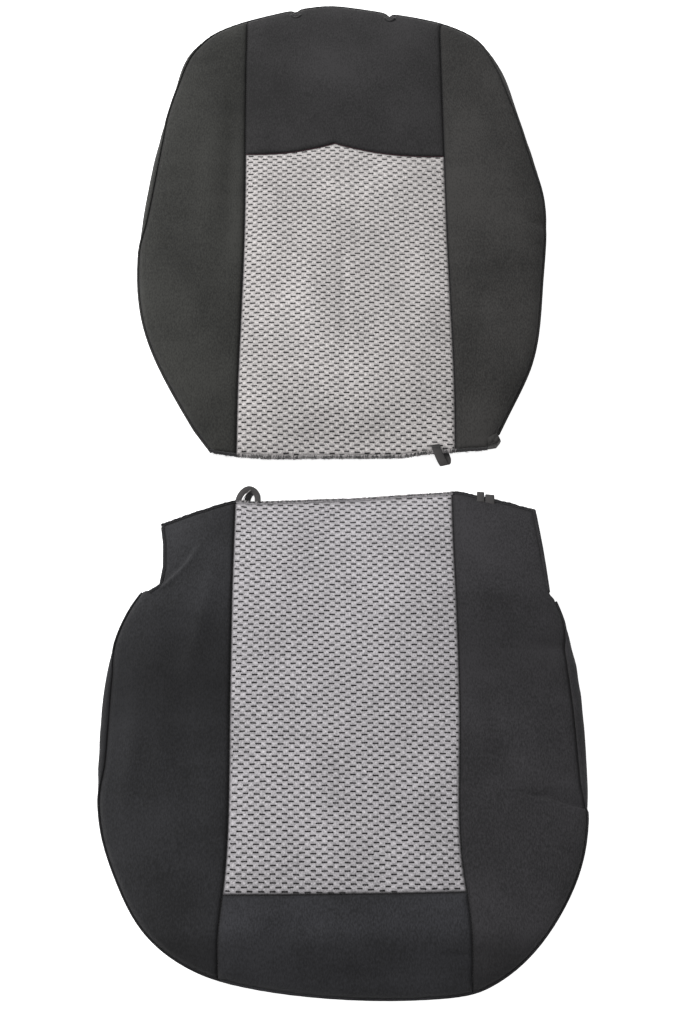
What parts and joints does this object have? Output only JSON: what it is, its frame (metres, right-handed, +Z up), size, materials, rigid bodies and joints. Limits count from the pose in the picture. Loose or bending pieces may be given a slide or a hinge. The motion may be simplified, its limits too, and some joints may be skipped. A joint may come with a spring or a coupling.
{
  "type": "seat cover set",
  "caption": "Cloth cover set for one seat, laid flat: backrest cover with headrest post openings and base cover with a rear tuck-in flap, grey woven centres and black sides.",
  "frame": {"origin": "on the floor, in the middle of the laid-out set", "axes": "+Z up off the floor, +X to the right seen from the front of the seat, +Y from the base cover to the top of the backrest cover"},
  "size_m": [0.5702, 1.3142, 0.03],
  "materials": {
    "black_cloth": "foam-backed woven seat cloth",
    "gusset_cloth": "foam-backed woven seat cloth",
    "grey_jacquard": "grey jacquard with dark dashes",
    "rear_cloth": "thin knitted cloth",
    "hem_tape": "woven tape",
    "hem_elastic": "covered elastic",
    "black_thread": "sewn thread",
    "red_thread": "dark red sewn thread",
    "overlock_thread": "overlock stitching",
    "elastic_webbing": "woven elastic webbing",
    "eyelet_binding": "bound cloth edge"
  },
  "bodies": {
    "base_skirt": {"base_hem_channel": "hem_tape", "base_hem_elastic": "hem_elastic", "base_left_gusset": "gusset_cloth", "base_front_gusset": "gusset_cloth", "base_right_gusset": "gusset_cloth"},
    "base_top": {"base_centre_insert": "grey_jacquard", "base_front_panel": "black_cloth", "base_left_bolster": "black_cloth", "base_right_bolster": "black_cloth", "base_left_seam": "black_thread", "base_right_seam": "black_thread", "base_front_seam": "black_thread", "base_perimeter_seam": "black_thread"},
    "base_flap": {"flap_centre_insert": "grey_jacquard", "flap_left_ear": "black_cloth", "flap_right_ear": "black_cloth", "flap_left_seam": "black_thread", "flap_right_seam": "black_thread", "flap_rear_overlock": "overlock_thread", "flap_left_hem": "overlock_thread", "flap_right_hem": "overlock_thread"},
    "base_left_loop_body": {"base_left_loop": "elastic_webbing"},
    "base_right_inner_loop_body": {"base_right_inner_loop": "elastic_webbing"},
    "base_right_outer_loop_body": {"base_right_outer_loop": "elastic_webbing"},
    "backrest_rear": {"backrest_rear_panel": "rear_cloth", "backrest_rear_overlock": "overlock_thread", "backrest_left_gusset": "gusset_cloth", "backrest_right_gusset": "gusset_cloth", "backrest_top_gusset": "gusset_cloth", "backrest_right_corner": "gusset_cloth"},
    "headrest_opening": {"headrest_band": "gusset_cloth", "headrest_eyelet_left": "eyelet_binding", "headrest_eyelet_right": "eyelet_binding"},
    "backrest_front": {"backrest_centre_insert": "grey_jacquard", "backrest_yoke": "black_cloth", "backrest_left_bolster": "black_cloth", "backrest_right_bolster": "black_cloth", "backrest_yoke_seam": "red_thread", "backrest_left_seam": "black_thread", "backrest_right_seam": "black_thread", "backrest_perimeter_seam": "black_thread", "backrest_front_overlock": "overlock_thread"},
    "backrest_loop_body": {"backrest_elastic_loop": "elastic_webbing"}
  },
  "joints": [
    {"name": "base_fill", "type": "slide", "parent": "base_skirt", "child": "base_top", "axis": [0, 0, 1], "range_m": [0, 0.11], "deforming": ["base_left_gusset", "base_front_gusset", "base_right_gusset"]},
    {"name": "flap_tuck", "type": "hinge", "parent": "base_top", "child": "base_flap", "pos_m": [0, -0.198, 0.0268], "axis": [1, 0, 0], "range_deg": [-75, 0]},
    {"name": "backrest_recline", "type": "hinge", "parent": "base_skirt", "child": "backrest_rear", "pos_m": [0, -0.106, 0.072], "axis": [1, 0, 0], "range_deg": [0, 90]},
    {"name": "backrest_fill", "type": "slide", "parent": "backrest_rear", "child": "headrest_opening", "axis": [0, 0, 1], "range_m": [0, 0.05], "deforming": ["backrest_left_gusset", "backrest_right_gusset", "backrest_top_gusset"]},
    {"name": "front_fill", "type": "slide", "parent": "headrest_opening", "child": "backrest_front", "axis": [0, 0, 1], "range_m": [0, 0.05]},
    {"name": "backrest_loop_swing", "type": "hinge", "parent": "backrest_front", "child": "backrest_loop_body", "pos_m": [0.123, -0.0182, 0.0182], "axis": [1, 0, 0], "range_deg": [-80, 40]},
    {"name": "base_left_loop_swing", "type": "hinge", "parent": "base_flap", "child": "base_left_loop_body", "pos_m": [-0.117, -0.077, 0.0039], "axis": [1, 0, 0], "range_deg": [-10, 80]},
    {"name": "base_right_inner_loop_swing", "type": "hinge", "parent": "base_flap", "child": "base_right_inner_loop_body", "pos_m": [0.1765, -0.0724, 0.0042], "axis": [1, 0, 0], "range_deg": [-10, 80]},
    {"name": "base_right_outer_loop_swing", "type": "hinge", "parent": "base_flap", "child": "base_right_outer_loop_body", "pos_m": [0.1895, -0.0754, 0.0042], "axis": [1, 0, 0], "range_deg": [-10, 80]}
  ],
  "couplings": [
    {"joint": "flap_tuck", "follows": "base_fill", "rad_per_m": -11.884},
    {"joint": "front_fill", "follows": "backrest_fill", "ratio": 1}
  ]
}
